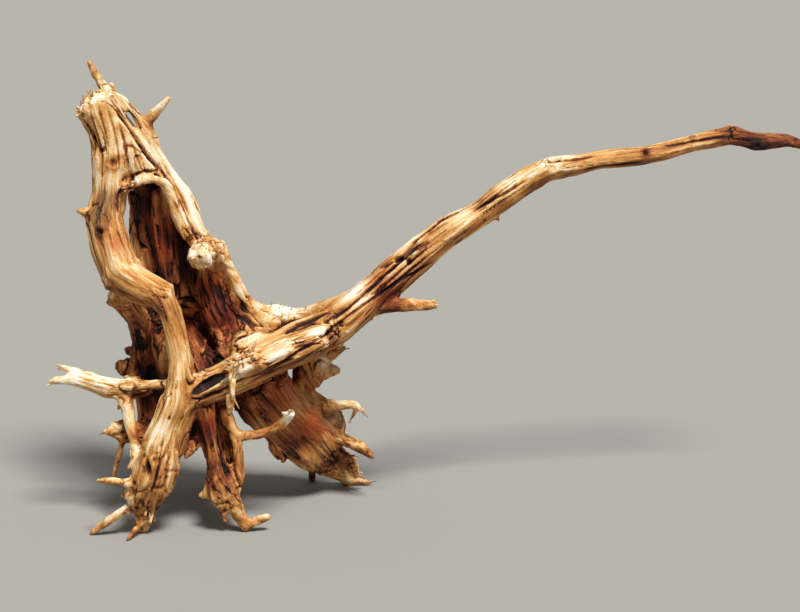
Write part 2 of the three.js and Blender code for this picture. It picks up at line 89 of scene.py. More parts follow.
# Cracks and slots that show in the photograph: half width and depth, then points in millimetres.
CARVED_LINES = (
    (
        2.6,
        5.0,
        (
            (-247, -2, 335), (-243, -3, 327), (-236, -2, 318),
            (-231, -3, 308), (-222, 0, 293), (-213, 4, 281),
        ),
    ),
    (1.4, 1.8, ((-245, -5, 323), (-241, -8, 308), (-239, -8, 293), (-239, -12, 276))),
    (1.2, 1.4, ((-268, -6, 338), (-264, -8, 318), (-261, -10, 295), (-260, -11, 272))),
    (1.0, 1.2, ((-262, -4, 341), (-257, -7, 322), (-253, -9, 303))),
    (1.0, 1.2, ((-255, -2, 338), (-249, -6, 318), (-246, -8, 300), (-245, -10, 285))),
    (1.5, 1.6, ((-215, 5, 291), (-206, 6, 276), (-198, 5, 261), (-191, 3, 243))),
    (1.5, 1.5, ((-236, -7, 309), (-231, -7, 295), (-226, -6, 280))),
    (1.1, 1.4, ((-186, 4, 196), (-183, 4, 189), (-176, 2, 165), (-163, -11, 143))),
    (1.0, 1.2, ((-178, 4, 192), (-171, 2, 167), (-156, -16, 148))),
    (1.2, 1.5, ((-172, 4, 196), (-166, 2, 169), (-150, -20, 154))),
    (1.0, 1.2, ((-167, 2, 194), (-160, 2, 172), (-142, -8, 154))),
    (3.2, 3.6, ((-190, -62, 116), (-180, -60, 124), (-170, -56, 130), (-160, -56, 137))),
    (2.2, 4.0, ((-225, -73, 72), (-222, -74, 62), (-221, -74, 52))),
    (3.2, 4.5, ((-170, -48, 82), (-166, -48, 70), (-163, -52, 56), (-162, -54, 46))),
    (2.2, 3.0, ((-81, -29, 169), (-57, -20, 186), (-31, -12, 207), (-5, -3, 228))),
    (1.6, 2.2, ((-80, -34, 162), (-69, -29, 171), (-25, -16, 198), (0, -4, 210))),
    (1.5, 2.0, ((-18, -2, 224), (6, 3, 241), (39, 10, 260))),
    (1.9, 2.6, ((30, 3, 250), (44, 5, 257), (62, 7, 266), (79, 11, 277))),
    (1.3, 1.4, ((86, 16, 286), (114, 20, 288), (134, 24, 291))),
    (1.3, 1.6, ((120, 20, 279), (144, 25, 282), (170, 29, 284))),
    (1.2, 1.5, ((180, 31, 296), (207, 33, 300), (227, 35, 303), (245, 36, 304))),
    (1.2, 1.4, ((-264, -20, 244), (-258, -14, 263), (-257, -10, 282))),
    (1.6, 1.6, ((-186, -60, 113), (-166, -58, 118), (-143, -56, 129), (-103, -56, 152), (-84, -45, 161))),
    (1.4, 1.6, ((-171, -48, 88), (-167, -45, 71), (-162, -52, 52))),
    (1.2, 1.2, ((-288, -27, 123), (-267, -33, 119), (-247, -35, 117))),
    (1.1, 1.0, ((-209, -69, 91), (-213, -73, 68), (-222, -71, 34))),
    (
        1.7,
        2.4,
        (
            (-244, -10, 276), (-235, -9, 281), (-226, -5, 284),
            (-214, 2, 282), (-205, 4, 272), (-199, 4, 258),
        ),
    ),
    (1.6, 2.2, ((-199, 3, 262), (-195, 2, 246), (-189, 0, 232), (-184, -4, 226))),
)
# Knots: middle in millimetres and half width.
KNOTS = ((-250, -9, 292, 7), (-260, -23, 239, 5), (171, 28, 292, 4), (209, 34, 304, 3.5), (262, 39, 295, 5))
# Holes that rot or worms have left: middle in millimetres, half width and depth.
HOLES = (
    (-27, -8, 214, 3.4, 5),
    (-18, -11, 212, 2.6, 4),
    (-205, -68, 100, 1.8, 2),
)
# Faces where a limb snapped off: middle in millimetres, the way the face looks, and its reach.
BROKEN_FACES = (
    ((-182, -30, 216), (-0.2, -0.88, -0.42), 17),
    ((3, -10, 177), (1, 0, 0.1), 8),
    ((-84, -40, 157), (0.8, -0.3, 0.3), 9),
)
# Tufts of torn fibres: foot in millimetres, the way they point, length, width, number and spread.
TUFTS = (
    ((-278, 2, 332), (-0.75, -0.2, 0.5), 2.5, 6, 5, 5),
    ((-274, -4, 326), (-0.8, -0.4, 0.2), 3, 6, 4, 5),
    ((-270, 4, 342), (-0.5, -0.1, 0.85), 2.5, 6, 4, 5),
    ((-260, 6, 347), (-0.3, -0.1, 1.0), 3.5, 6, 4, 4),
    ((-156, -64, 128), (-0.1, -0.15, -1.0), 16, 7, 2, 1.5),
    ((-157, -64, 114), (0.1, -0.1, -1.0), 9, 6, 2, 1.5),
    ((-141, -54, 151), (0.6, -0.2, 0.75), 11, 5, 1, 1),
    ((-160, -60, 143), (-0.4, -0.6, 0.4), 4, 4, 9, 7),
    ((-148, -62, 148), (0.3, -0.7, 0.3), 4, 4, 9, 7),
    ((-140, 8, 174), (0.2, -0.2, 1.0), 2, 3.5, 12, 9),
    ((-122, 10, 171), (0.4, -0.2, 1.0), 2, 3.5, 12, 9),
    ((-104, 8, 169), (0.6, -0.2, 1.0), 2, 3.5, 8, 7),
    ((-296, -23, 128), (-1.0, 0.0, 0.3), 4, 4.5, 3, 1.5),
    ((-303, -27, 117), (-1.0, 0.0, -0.1), 3, 4, 2, 1.2),
    ((3, -10, 177), (1.0, 0.0, 0.05), 3, 4, 4, 3),
    ((-182, -34, 212), (-0.3, -0.8, -0.6), 1.5, 3.5, 12, 7),
    ((-222, -64, 16), (0.1, -0.3, -1.0), 4, 4.5, 3, 4),
    ((-60, 44, 14), (0.7, -0.2, -0.5), 6, 3.2, 6, 5),
    ((-72, 10, 134), (0.9, 0.0, 0.4), 5, 3.2, 4, 3),
    ((-55, 9, 83), (0.6, 0.0, -0.8), 6, 2.5, 3, 1.5),
    ((-110, -48, 100), (-0.3, -0.5, 0.8), 3, 3, 4, 2),
)

# Places on the wood in millimetres, each with how far its mark reaches.
# Sun and water have bleached these: the crown and the panel below it, the right rim, the knot stub, the foot
# and upper side of the long branch, the snapped limb, the left branch, the root under it, a patch of the
# front root and some of the twigs. On the upper side of the long branch and on the rear chunk, which lies in
# shade, the lightening is also painted light.
BLEACHED_AND_LIT_PLACES = (
    (-270, 0, 335, 34),
    (-246, 4, 322, 34),
    (-225, 2, 292, 26),
    (-207, 4, 268, 22),
    (-196, 4, 246, 16),
    (-228, -6, 278, 14),
    (-182, -28, 217, 22),
    (-166, 3, 220, 13),
    (-160, 4, 204, 12),
    (-153, 5, 186, 12),
    (-143, 7, 171, 12),
    (-118, 14, 166, 22),
    (-235, -6, 305, 34),
    (-252, -10, 300, 24),
    (-256, -8, 278, 18),
    (-228, 0, 298, 32),
    (-212, -66, 84, 20),
    (-150, -56, 130, 22),
    (-86, 8, 122, 18),
    (-60, -16, 190, 22),
    (-246, -66, 24, 16),
    (-290, -26, 121, 28),
    (-262, -30, 118, 18),
    (-242, -40, 92, 18),
    (-236, -52, 66, 16),
    (-212, 12, 334, 18),
    (-146, -58, 142, 16),
    (-118, -58, 152, 22),
    (-90, -44, 158, 16),
    (-20, 2, 222, 22),
    (20, 8, 248, 20),
    (60, 14, 270, 20),
    (98, 20, 290, 20),
    (-52, 8, 88, 18),
    (-112, -46, 95, 14),
    (-45, 40, 12, 24),
)
# These are painted darker: painted shade in the hollow, the wall below it and the underside of the right
# root, and a darker tone on the slab, the middle and right roots, the tip of the long branch and a few twig
# feet.
DARK_AND_SHADED_PLACES = (
    (-226, 24, 250, 26),
    (-216, 16, 222, 34),
    (-210, 12, 196, 34),
    (-206, 6, 165, 34),
    (-234, 4, 150, 34),
    (-228, 4, 115, 30),
    (-190, -4, 150, 30),
    (-176, -6, 128, 26),
    (-176, 4, 186, 24),
    (-168, 0, 164, 28),
    (-158, -6, 150, 22),
    (-190, -20, 85, 30),
    (-160, -36, 70, 16),
    (-176, -50, 82, 24),
    (-168, -54, 55, 32),
    (-138, -6, 110, 30),
    (-108, 6, 62, 32),
    (-84, 32, 38, 28),
    (262, 40, 296, 56),
    (290, 46, 296, 56),
    (-30, -14, 178, 22),
    (-240, -70, 2, 16),
    (-100, 62, 8, 18),
)
# Fresh reddish heartwood shows here: the inner rib, the slab beside it, the right root, a patch of the front
# limb, the side of the long branch, the top of the middle root and the rear chunk.
HEARTWOOD_PLACES = (
    (-214, 12, 226, 34),
    (-190, 0, 168, 36),
    (-176, 0, 190, 24),
    (-168, 0, 165, 30),
    (-120, -10, 104, 44),
    (-96, 6, 74, 30),
    (-248, -26, 230, 14),
    (-40, -14, 192, 26),
    (-175, -46, 92, 24),
    (-86, 8, 122, 26),
)
# Damp stain has greyed the wood here: the outer face of the right root and the front limb.
GREY_PLACES = (
    (-82, 12, 76, 16),
    (-76, 12, 68, 12),
    (-256, -14, 262, 16),
    (-262, -16, 250, 14),
)
# Worm and root pits cover these: the front root, the torn edge of the crown, the knot stub, the crumbling
# patch of the snapped limb, the middle root, the end of the right root and the thin left root.
PITTED_PLACES = (
    (-222, -68, 56, 34),
    (-236, -60, 26, 26),
    (-276, 0, 332, 16),
    (-266, 4, 344, 14),
    (-182, -32, 217, 16),
    (-160, -56, 142, 18),
    (-165, -56, 30, 22),
    (-60, 30, 40, 30),
    (-250, -28, 78, 22),
)
# Wood polished smooth by water: the front limb and root, the right root, the arch lip and right rim, the
# foot of the left branch and the snapped limb.
SMOOTH_PLACES = (
    (-250, -24, 225, 34),
    (-225, -40, 200, 34),
    (-200, -48, 150, 40),
    (-112, -4, 90, 50),
    (-90, 10, 70, 40),
    (-212, -62, 85, 34),
    (-222, -70, 55, 34),
    (-252, -6, 285, 24),
    (-222, -5, 277, 18),
    (-206, 0, 262, 16),
    (-196, 2, 244, 16),
    (-242, -24, 100, 24),
    (-140, -54, 132, 26),
    (-166, 4, 216, 14),
    (-156, 5, 192, 16),
    (-142, 8, 170, 18),
)


def linear(hex_colour):
    """A colour written as sRGB hex, as the linear red, green, blue and alpha that Blender uses."""
    channels = [int(hex_colour[i : i + 2], 16) / 255 for i in (1, 3, 5)]
    bent = [c / 12.92 if c <= 0.04045 else ((c + 0.055) / 1.055) ** 2.4 for c in channels]
    return (*bent, 1.0)


def size(label, description, millimetres):
    """A length that a user may change, kept in metres."""
    return bpy.props.FloatProperty(
        name=label, description=description, default=millimetres * MM, unit="LENGTH", precision=5
    )


def colour(label, description, hex_colour):
    """A colour that a user may change."""
    return bpy.props.FloatVectorProperty(
        name=label, description=description, default=linear(hex_colour), subtype="COLOR", size=4, min=0, max=1
    )


class DriftwoodWood(bpy.types.PropertyGroup):
    """Surface of the wood."""

    voxel: size("Voxel", "Spacing of the surface points of the wood", 1.0)
    guide_voxel: size("Guide voxel", "Spacing of the coarse copy that carries the grain", 3.0)
    fillet_passes: bpy.props.IntProperty(
        name="Fillet passes",
        description="How far the wood grows into the creases between limbs",
        default=16,
        min=0,
    )
    ridge_depth: size("Ridge depth", "Height of the long ridges along the grain", 1.5)
    crack_depth: size("Crack depth", "Depth of the drying cracks along the grain", 2.2)
    lump_depth: size("Lump depth", "Height of the broad swellings", 1.3)
    pit_depth: size("Pit depth", "Depth of the pits in the foot and the knot", 2.0)
    knot_height: size("Knot height", "Height of the ring round a knot", 1.2)
    twig_growth: size("Twig growth", "Wood given back to thin twigs that the fairing has worn", 0.5)
    triangles: bpy.props.IntProperty(
        name="Triangles", description="Most triangles in the finished wood", default=190000, min=1000
    )
    # The heartwood colour and its tint also colour the painted shade of the sheltered wood.
    dark: colour("Dark", "Cracks and the deepest shade of the wood", "#1A0A05")
    heart: colour("Heartwood", "Sheltered red-brown wood", "#5E2A15")
    brown: colour("Brown", "Brown streaks", "#965A31")
    ochre: colour("Ochre", "The main golden tone", "#C98B46")
    honey: colour("Honey", "Light ridges", "#E7C188")
    bleached: colour("Bleached", "Sun bleached wood", "#FAEEDC")
    grey: colour("Grey", "Damp stain", "#57503F")
    heart_and_shade_tint: colour("Heartwood tint", "Reddening of the heartwood and the sheltered wood", "#D4906F")


class DriftwoodSplinters(bpy.types.PropertyGroup):
    """Torn fibres at the broken places."""

    girth: bpy.props.FloatProperty(
        name="Girth", description="Thickness of every fibre against its own size", default=1.0, min=0.1
    )
    sunk: size("Sunk", "Length of a fibre that stays inside the wood", 4.0)
    darkest: bpy.props.FloatProperty(
        name="Darkest", description="Tone of the oldest fibre", default=0.5, min=0, max=1, subtype="FACTOR"
    )
    palest: bpy.props.FloatProperty(
        name="Palest", description="Tone of the freshest fibre", default=0.82, min=0, max=1, subtype="FACTOR"
    )
    seed: bpy.props.IntProperty(name="Seed", description="The same fibres come out every time", default=7)


class DriftwoodStage(bpy.types.PropertyGroup):
    """Floor, lights and camera."""

    floor_colour: colour("Floor", "Plain pale floor", "#9B9A97")
    key_colour: colour("Key colour", "Colour of the main light", "#FFFCF5")
    key_strength: bpy.props.FloatProperty(
        name="Key strength", description="Brightness of the main light", default=4.2, min=0
    )
    key_softness: bpy.props.FloatProperty(
        name="Key softness", description="Width of the main light", default=math.radians(16), subtype="ANGLE"
    )
    key_way: bpy.props.FloatVectorProperty(
        name="Key way",
        description="Way the main light shines",
        default=(-0.25, 0.48, -1.0),
        subtype="DIRECTION",
    )
    sky_colour: colour("Sky colour", "Colour of the light from all round", "#F4F4F2")
    sky_strength: bpy.props.FloatProperty(
        name="Sky strength", description="Brightness of the light from all round", default=0.27, min=0
    )
    elevation: bpy.props.FloatProperty(
        name="Elevation",
        description="Camera height above the horizon",
        default=math.radians(15),
        subtype="ANGLE",
    )
    distance: size("Distance", "Camera to the middle of the picture", 1777.8)
    target: bpy.props.FloatVectorProperty(
        name="Target",
        description="Point in the middle of the picture",
        default=(-25.3 * MM, -2.4 * MM, 173.4 * MM),
        subtype="TRANSLATION",
        unit="LENGTH",
    )


def link(thing):
    """Puts a new object in the scene."""
    bpy.context.scene.collection.objects.link(thing)
    return thing


def apply_modifier(piece, kind, **settings):
    """Runs one modifier on a piece and keeps its result as the piece's mesh."""
    modifier = piece.modifiers.new(kind.title(), kind)
    for key, value in settings.items():
        setattr(modifier, key, value)
    evaluated = piece.evaluated_get(bpy.context.evaluated_depsgraph_get())
    shaped = bpy.data.meshes.new_from_object(evaluated)
    before = piece.data
    piece.modifiers.clear()
    piece.data = shaped
    bpy.data.meshes.remove(before)


def drop_crumbs(mesh):
    """Deletes every scrap that the remesh left apart from the main body."""
    shell = bmesh.new()
    shell.from_mesh(mesh)
    waiting = set(shell.verts)
    largest = set()
    while waiting:
        island = {waiting.pop()}
        edge_of_island = list(island)
        while edge_of_island:
            vertex = edge_of_island.pop()
            for edge in vertex.link_edges:
                other = edge.other_vert(vertex)
                if other not in island:
                    island.add(other)
                    edge_of_island.append(other)
        waiting -= island
        if len(island) > len(largest):
            largest = island
    crumbs = [vertex for vertex in shell.verts if vertex not in largest]
    bmesh.ops.delete(shell, geom=crumbs, context="VERTS")
    shell.to_mesh(mesh)
    shell.free()


def remeshed_copy(name, voxel):
    """A copy of the solid with its triangles merged and an even skin of small faces."""
    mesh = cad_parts[NODE].data.copy()
    mesh.name = name
    mesh.materials.clear()
    shell = bmesh.new()
    shell.from_mesh(mesh)
    bmesh.ops.remove_doubles(shell, verts=shell.verts, dist=0.001 * MM)
    shell.to_mesh(mesh)
    shell.free()
    piece = link(bpy.data.objects.new(name, mesh))
    apply_modifier(piece, "REMESH", mode="VOXEL", voxel_size=voxel)
    drop_crumbs(piece.data)
    return piece


def read_points(mesh):
    """Points of a mesh, one row each."""
    points = np.empty(len(mesh.vertices) * 3)
    mesh.vertices.foreach_get("co", points)
    return points.reshape(-1, 3)


def read_normals(mesh):
    """Outward direction at each point of a mesh."""
    normals = np.empty(len(mesh.vertices) * 3)
    mesh.vertex_normals.foreach_get("vector", normals)
    return normals.reshape(-1, 3)


def write_points(mesh, points):
    """Moves the points of a mesh."""
    mesh.vertices.foreach_set("co", points.astype(np.float32).ravel())
    mesh.update()


def averager(mesh):
    """A function that gives, for values at the points of a mesh, the mean of each point's neighbours."""
    count = len(mesh.vertices)
    edges = np.empty(len(mesh.edges) * 2, np.int32)
    mesh.edges.foreach_get("vertices", edges)
    first, second = edges.reshape(-1, 2).T
    here = np.concatenate((first, second))
    there = np.concatenate((second, first))
    degree = np.maximum(np.bincount(here, minlength=count), 1)

    def mean(values):
        if values.ndim == 1:
            return np.bincount(here, weights=values[there], minlength=count) / degree
        columns = [np.bincount(here, weights=column[there], minlength=count) / degree for column in values.T]
        return np.stack(columns, axis=1)

    return mean


def smoothed(values, mean, passes):
    """Values spread evenly to their neighbours, again and again."""
    for _ in range(passes):
        values = 0.5 * values + 0.5 * mean(values)
    return values


def fillet(mesh, passes):
    """Grows the wood a little into the creases between limbs, and takes the flats off the rest."""
    mean = averager(mesh)
    points = read_points(mesh)
    normals = read_normals(mesh)
    for turn in range(passes):
        shift = mean(points) - points
        lift = np.einsum("ij,ij->i", shift, normals)
        share = np.where(lift > 0, 0.75, 0.32)
        points = points + 0.4 * shift + normals * (lift * (share - 0.4))[:, None]
        if turn % 4 == 3:
            write_points(mesh, points)
            normals = read_normals(mesh)
    write_points(mesh, points)


def along(points, line):
    """The nearest place on a line of straight stretches, for each point."""
    best = np.full(len(points), np.inf)
    nearest = np.zeros_like(points)
    stops = np.array(line, float)
    for start, end in zip(stops[:-1], stops[1:]):
        way = end - start
        share = np.clip((points - start) @ way / (way @ way), 0, 1)
        place = start + share[:, None] * way
        apart = np.linalg.norm(points - place, axis=1)
        closer = apart < best
        best[closer] = apart[closer]
        nearest[closer] = place[closer]
    return nearest, best


def grain_middle(points):
    """The place on the nearest grain line, for each point in millimetres."""
    best = np.full(len(points), np.inf)
    middle = np.zeros_like(points)
    for half_width, line in GRAIN_LINES:
        nearest, apart = along(points, line)
        closer = apart - half_width < best
        best[closer] = apart[closer] - half_width
        middle[closer] = nearest[closer]
    return middle


def surface_tree(piece, points):
    """The skin of a piece, ready for rays."""
    corners = [Vector(point) for point in points]
    return BVHTree.FromPolygons(corners, [list(face.vertices) for face in piece.data.polygons])


def thickness(tree, points, normals):
    """How much wood lies straight behind each point, up to 60 mm."""
    deep = 60 * MM
    found = np.full(len(points), deep)
    for i, (point, normal) in enumerate(zip(points, normals)):
        inward = -Vector(normal)
        distance = tree.ray_cast(Vector(point) + inward * 0.8 * MM, inward, deep)[3]
        if distance is not None:
            found[i] = distance
    return found


def shelter(tree, points, normals):
    """How much of its own surroundings each point looks at, from 0 in the open to 1 deep inside."""
    reach = 90 * MM
    count = 28
    turn = math.pi * (3 - math.sqrt(5))
    ways = []
    for i in range(count):
        height = math.sqrt((i + 0.5) / count)
        flat = math.sqrt(1 - height * height)
        ways.append((flat * math.cos(i * turn), flat * math.sin(i * turn), height))
    hidden = np.zeros(len(points))
    for i, (point, normal) in enumerate(zip(points, normals)):
        up = Vector(normal)
        start = Vector(point) + up * 1.5 * MM
        side = up.orthogonal().normalized()
        ahead = up.cross(side)
        for x, y, z in ways:
            distance = tree.ray_cast(start, side * x + ahead * y + up * z, reach)[3]
            if distance is not None:
                hidden[i] += 1 - distance / reach
    return hidden / count


def carry(values, from_points, to_points):
    """Values of the nearest points of one mesh, blended on the points of another."""
    tree = kdtree.KDTree(len(from_points))
    for i, point in enumerate(from_points):
        tree.insert(point, i)
    tree.balance()
    nearest = np.empty((len(to_points), 4), np.int32)
    weights = np.empty((len(to_points), 4))
    for i, point in enumerate(to_points):
        found = tree.find_n(point, 4)
        nearest[i] = [entry[1] for entry in found]
        weights[i] = [1 / (entry[2] + 0.3 * MM) for entry in found]
    weights /= weights.sum(axis=1, keepdims=True)
    return np.einsum("ij,ijk->ik", weights, values[nearest])


def field(places, spacing, offset):
    """Smooth noise from about -1 to 1 with features of that spacing, both in millimetres."""
    scaled = places / spacing + offset
    return np.array([noise.noise(place) for place in scaled.tolist()])


def walls(places, normals, spacing, offset):
    """Distance in millimetres along the skin to the nearest wall between cells drawn out along the grain."""
    scaled = places / spacing + offset
    found = np.empty(len(places))
    for i, (place, normal) in enumerate(zip(scaled.tolist(), normals.tolist())):
        _, cells = noise.voronoi(place)
        across = (cells[1] - cells[0]).normalized()
        apart = abs(((cells[0] + cells[1]) * 0.5 - Vector(place)).dot(across))
        slant = math.sqrt(max(1 - across.dot(normal) ** 2, 0.0025))
        found[i] = apart / slant
    return found * spacing


def near(points, places):
    """1 in the middle of the given places, falling to 0 at their reach."""
    best = np.zeros(len(points))
    for x, y, z, reach in places:
        distance = np.linalg.norm(points - np.array((x, y, z)), axis=1) / reach
        best = np.maximum(best, np.clip(1 - distance, 0, 1))
    return best * best * (3 - 2 * best)


def snap_off(points):
    """Cuts the swollen ends of the snapped limbs back to rough, nearly flat faces."""
    for middle, way, reach in BROKEN_FACES:
        out = np.array(way) / np.linalg.norm(way)
        offset = points - np.array(middle)
        beyond = np.maximum(offset @ out, 0) * (np.linalg.norm(offset, axis=1) < reach)
        points = points - 0.85 * beyond[:, None] * out
    return points


def carved(points, normals, uneven):
    """Depth in millimetres and darkness of the photograph's cracks, slots and holes at each point."""
    depth = np.zeros(len(points))
    dark = np.zeros(len(points))
    for half_width, deep, line in CARVED_LINES:
        nearest, apart = along(points, line)
        offset = points - nearest
        out = np.einsum("ij,ij->i", offset, normals)
        aside = np.sqrt(np.maximum(apart**2 - out**2, 0)) + 0.35 * half_width * uneven
        share = np.clip(1 - aside / half_width, 0, 1) * (np.abs(out) < 9)
        ends = np.array((line[0], line[-1]), float)
        tail = np.minimum(
            np.linalg.norm(points - ends[0], axis=1), np.linalg.norm(points - ends[1], axis=1)
        )
        share *= np.clip(tail / 12, 0, 1)
        depth = np.maximum(depth, deep * share**0.7)
        dark = np.maximum(dark, np.clip(1.6 * share, 0, 1) * min(1.0, 0.2 + deep / 3.5))
    for x, y, z, half_width, deep in HOLES:
        apart = np.linalg.norm(points - np.array((x, y, z)), axis=1) + half_width * 0.5 * uneven
        share = np.clip(1.25 - apart / half_width, 0, 1)
        depth = np.maximum(depth, deep * share**0.6)
        dark = np.maximum(dark, np.clip(1.8 * share, 0, 1))
    return depth, dark


def step(low, high, values):
    """Smooth change from 0 at low to 1 at high."""
    t = np.clip((values - low) / (high - low), 0, 1)
    return t * t * (3 - 2 * t)


def keep(mesh, name, values):
    """Stores values on the points of a mesh for the material to read."""
    kind = "FLOAT" if values.ndim == 1 else "FLOAT_VECTOR"
    key = "value" if values.ndim == 1 else "vector"
    attribute = mesh.attributes.new(name, kind, "POINT")
    attribute.data.foreach_set(key, values.astype(np.float32).ravel())


def add(tree, kind, settings=None, **links):
    """Adds a node, sets its properties and its inputs by name or number, and links sockets into the rest.
    A link to an input that has only a number is given as i and the number."""
    node = tree.nodes.new(kind)
    for key, value in (settings or {}).items():
        if isinstance(key, int) or key in node.inputs:
            node.inputs[key].default_value = value
        else:
            setattr(node, key, value)
    for key, value in links.items():
        socket = node.inputs[int(key[1:])] if key[0] == "i" and key[1:].isdigit() else node.inputs[key]
        tree.links.new(value, socket)
    return node


def new_material(name):
    """An empty material with its shader."""
    material = bpy.data.materials.new(name)
    material.use_nodes = True
    tree = material.node_tree
    tree.nodes.clear()
    shader = tree.nodes.new("ShaderNodeBsdfPrincipled")
    output = tree.nodes.new("ShaderNodeOutputMaterial")
    tree.links.new(shader.outputs["BSDF"], output.inputs["Surface"])
    return material, tree, shader


def weathered_wood(look):
    """Bare root wood left to sun and water: matt, bleached on its ridges, golden below, red-brown and
    nearly black where it is cracked or lies in painted shade, with long fibres that run along each limb."""
    material, tree, shader = new_material(WOOD_FINISH)
    grain = add(tree, "ShaderNodeAttribute", {"attribute_name": "grain"}).outputs["Vector"]
    tone = add(tree, "ShaderNodeAttribute", {"attribute_name": "tone"}).outputs["Fac"]
    heart = add(tree, "ShaderNodeAttribute", {"attribute_name": "heart"}).outputs["Fac"]
    grey = add(tree, "ShaderNodeAttribute", {"attribute_name": "grey"}).outputs["Fac"]
    thick = add(tree, "ShaderNodeAttribute", {"attribute_name": "thick"}).outputs["Fac"]
    place = add(tree, "ShaderNodeTexCoord").outputs["Object"]

    # Bands of growth about 4 mm wide, fibres about 1.3 mm wide and drying checks about 5 mm apart,
    # all on grain kept in millimetres.
    bands = add(
        tree, "ShaderNodeTexNoise", {"Scale": 1 / 4.0, "Detail": 4.0, "Roughness": 0.65}, Vector=grain
    )
    fibres = add(
        tree, "ShaderNodeTexNoise", {"Scale": 1 / 1.3, "Detail": 2.0, "Roughness": 0.6}, Vector=grain
    )
    checks = add(
        tree, "ShaderNodeTexVoronoi", {"feature": "DISTANCE_TO_EDGE", "Scale": 1 / 5.0}, Vector=grain
    )
    # Where the checks open and close along a limb, about every 14 mm, on object coordinates in metres.
    opened = add(tree, "ShaderNodeTexNoise", {"Scale": 1 / (14 * MM), "Detail": 2.0}, Vector=place)
    # Specks and dents about 1.2 mm wide, on object coordinates in metres.
    specks = add(tree, "ShaderNodeTexNoise", {"Scale": 1 / (1.2 * MM), "Detail": 2.0}, Vector=place)

    # A check is dark within a width that swells and dies out along it.
    check_width = add(
        tree,
        "ShaderNodeMapRange",
        {"From Min": 0.46, "From Max": 0.70, "To Min": 0.0, "To Max": 0.09},
        Value=opened.outputs["Fac"],
    )
    check_room = add(tree, "ShaderNodeMath", {"operation": "MULTIPLY"}, i0=check_width.outputs[0], i1=thick)
    check_gap = add(
        tree,
        "ShaderNodeMath",
        {"operation": "SUBTRACT"},
        i0=check_room.outputs[0],
        i1=checks.outputs["Distance"],
    )
    check = add(
        tree, "ShaderNodeMapRange", {"From Min": 0.0, "From Max": 0.07}, Value=check_gap.outputs[0]
    ).outputs[0]

    # Each pattern lightens and darkens the tone about its own middle, 0.5, and the checks only darken it.
    total = tone
    for pattern, amount in ((bands, 0.95), (fibres, 0.5), (specks, 0.16)):
        offset = add(tree, "ShaderNodeMath", {"operation": "SUBTRACT", 1: 0.5}, i0=pattern.outputs["Fac"])
        joined = add(
            tree, "ShaderNodeMath", {"operation": "MULTIPLY_ADD", 1: amount}, i0=offset.outputs[0], i2=total
        )
        total = joined.outputs[0]
    darkened = add(tree, "ShaderNodeMath", {"operation": "MULTIPLY_ADD", 1: -0.5}, i0=check, i2=total)

    ramp = add(tree, "ShaderNodeValToRGB", {}, Fac=darkened.outputs[0])
    stops = (
        (0.0, look.dark),
        (0.17, look.heart),
        (0.36, look.brown),
        (0.56, look.ochre),
        (0.76, look.honey),
        (1.0, look.bleached),
    )
    while len(ramp.color_ramp.elements) < len(stops):
        ramp.color_ramp.elements.new(0.5)
    for element, (where, shade) in zip(ramp.color_ramp.elements, stops):
        element.position = where
        element.color = shade

    # The heart attribute reddens the heartwood and the painted shade of the sheltered and darkened places.
    reddened = add(
        tree,
        "ShaderNodeMix",
        {"data_type": "RGBA", "blend_type": "MULTIPLY", 7: look.heart_and_shade_tint},
        i0=heart,
        i6=ramp.outputs["Color"],
    )
    greyed = add(tree, "ShaderNodeMix", {"data_type": "RGBA", 7: look.grey}, i0=grey, i6=reddened.outputs[2])
    tree.links.new(greyed.outputs[2], shader.inputs["Base Color"])

    relief = specks.outputs["Fac"]
    for pattern, amount in ((fibres.outputs["Fac"], 1.6), (bands.outputs["Fac"], 2.4), (check, -2.0)):
        raised = add(tree, "ShaderNodeMath", {"operation": "MULTIPLY_ADD", 1: amount}, i0=pattern, i2=relief)
        relief = raised.outputs[0]
    bump = add(tree, "ShaderNodeBump", {"Strength": 0.75, "Distance": 0.6 * MM}, Height=relief)
    tree.links.new(bump.outputs["Normal"], shader.inputs["Normal"])
    shader.inputs["Roughness"].default_value = 0.74
    shader.inputs["Specular IOR Level"].default_value = 0.32
    return material


def grain_guide(look):
    """Points of a coarse copy of the wood, with the middle of the limb, shelter and thickness at each."""
    guide = remeshed_copy("grain_guide", look.guide_voxel)
    fillet(guide.data, 4)
    points = read_points(guide.data)
    normals = read_normals(guide.data)
    mean = averager(guide.data)
    tree = surface_tree(guide, points)
    hidden = smoothed(shelter(tree, points, normals), mean, 1)
    thick = smoothed(thickness(tree, points, normals), mean, 6) / MM
    # A twig's points, averaged long enough, draw together on its middle. Thick wood uses the grain lines.
    twig_middle = smoothed(points, mean, 220) / MM
    stem_middle = smoothed(grain_middle(points / MM), mean, 6)
    stem = step(11, 19, thick)[:, None]
    middle = smoothed(stem * stem_middle + (1 - stem) * twig_middle, mean, 3)
    bpy.data.objects.remove(guide)
    return points, np.column_stack((middle, hidden, thick))


def fair_skin(look):
    """A fine copy of the wood with its creases filled and its snapped faces cut, ready for the relief."""
    wood = remeshed_copy("driftwood_wood", look.voxel)
    fillet(wood.data, look.fillet_passes)
    # The fairing wears thin twig ends down to threads, and a second remesh breaks those off.
    apply_modifier(wood, "REMESH", mode="VOXEL", voxel_size=look.voxel)
    drop_crumbs(wood.data)
    write_points(wood.data, snap_off(read_points(wood.data) / MM) * MM)
    return wood


def knot_marks(places, uneven):
    """The raised ring and the dark core of the knots, from 0 to 1 at each place."""
    ring = np.zeros(len(places))
    core = np.zeros(len(places))
    for x, y, z, half_width in KNOTS:
        apart = np.linalg.norm(places - np.array((x, y, z)), axis=1) / half_width + 0.15 * uneven
        ring = np.maximum(ring, np.exp(-(((apart - 0.8) / 0.3) ** 2)))
        core = np.maximum(core, 1 - step(0.2, 0.65, apart))
    return ring, core


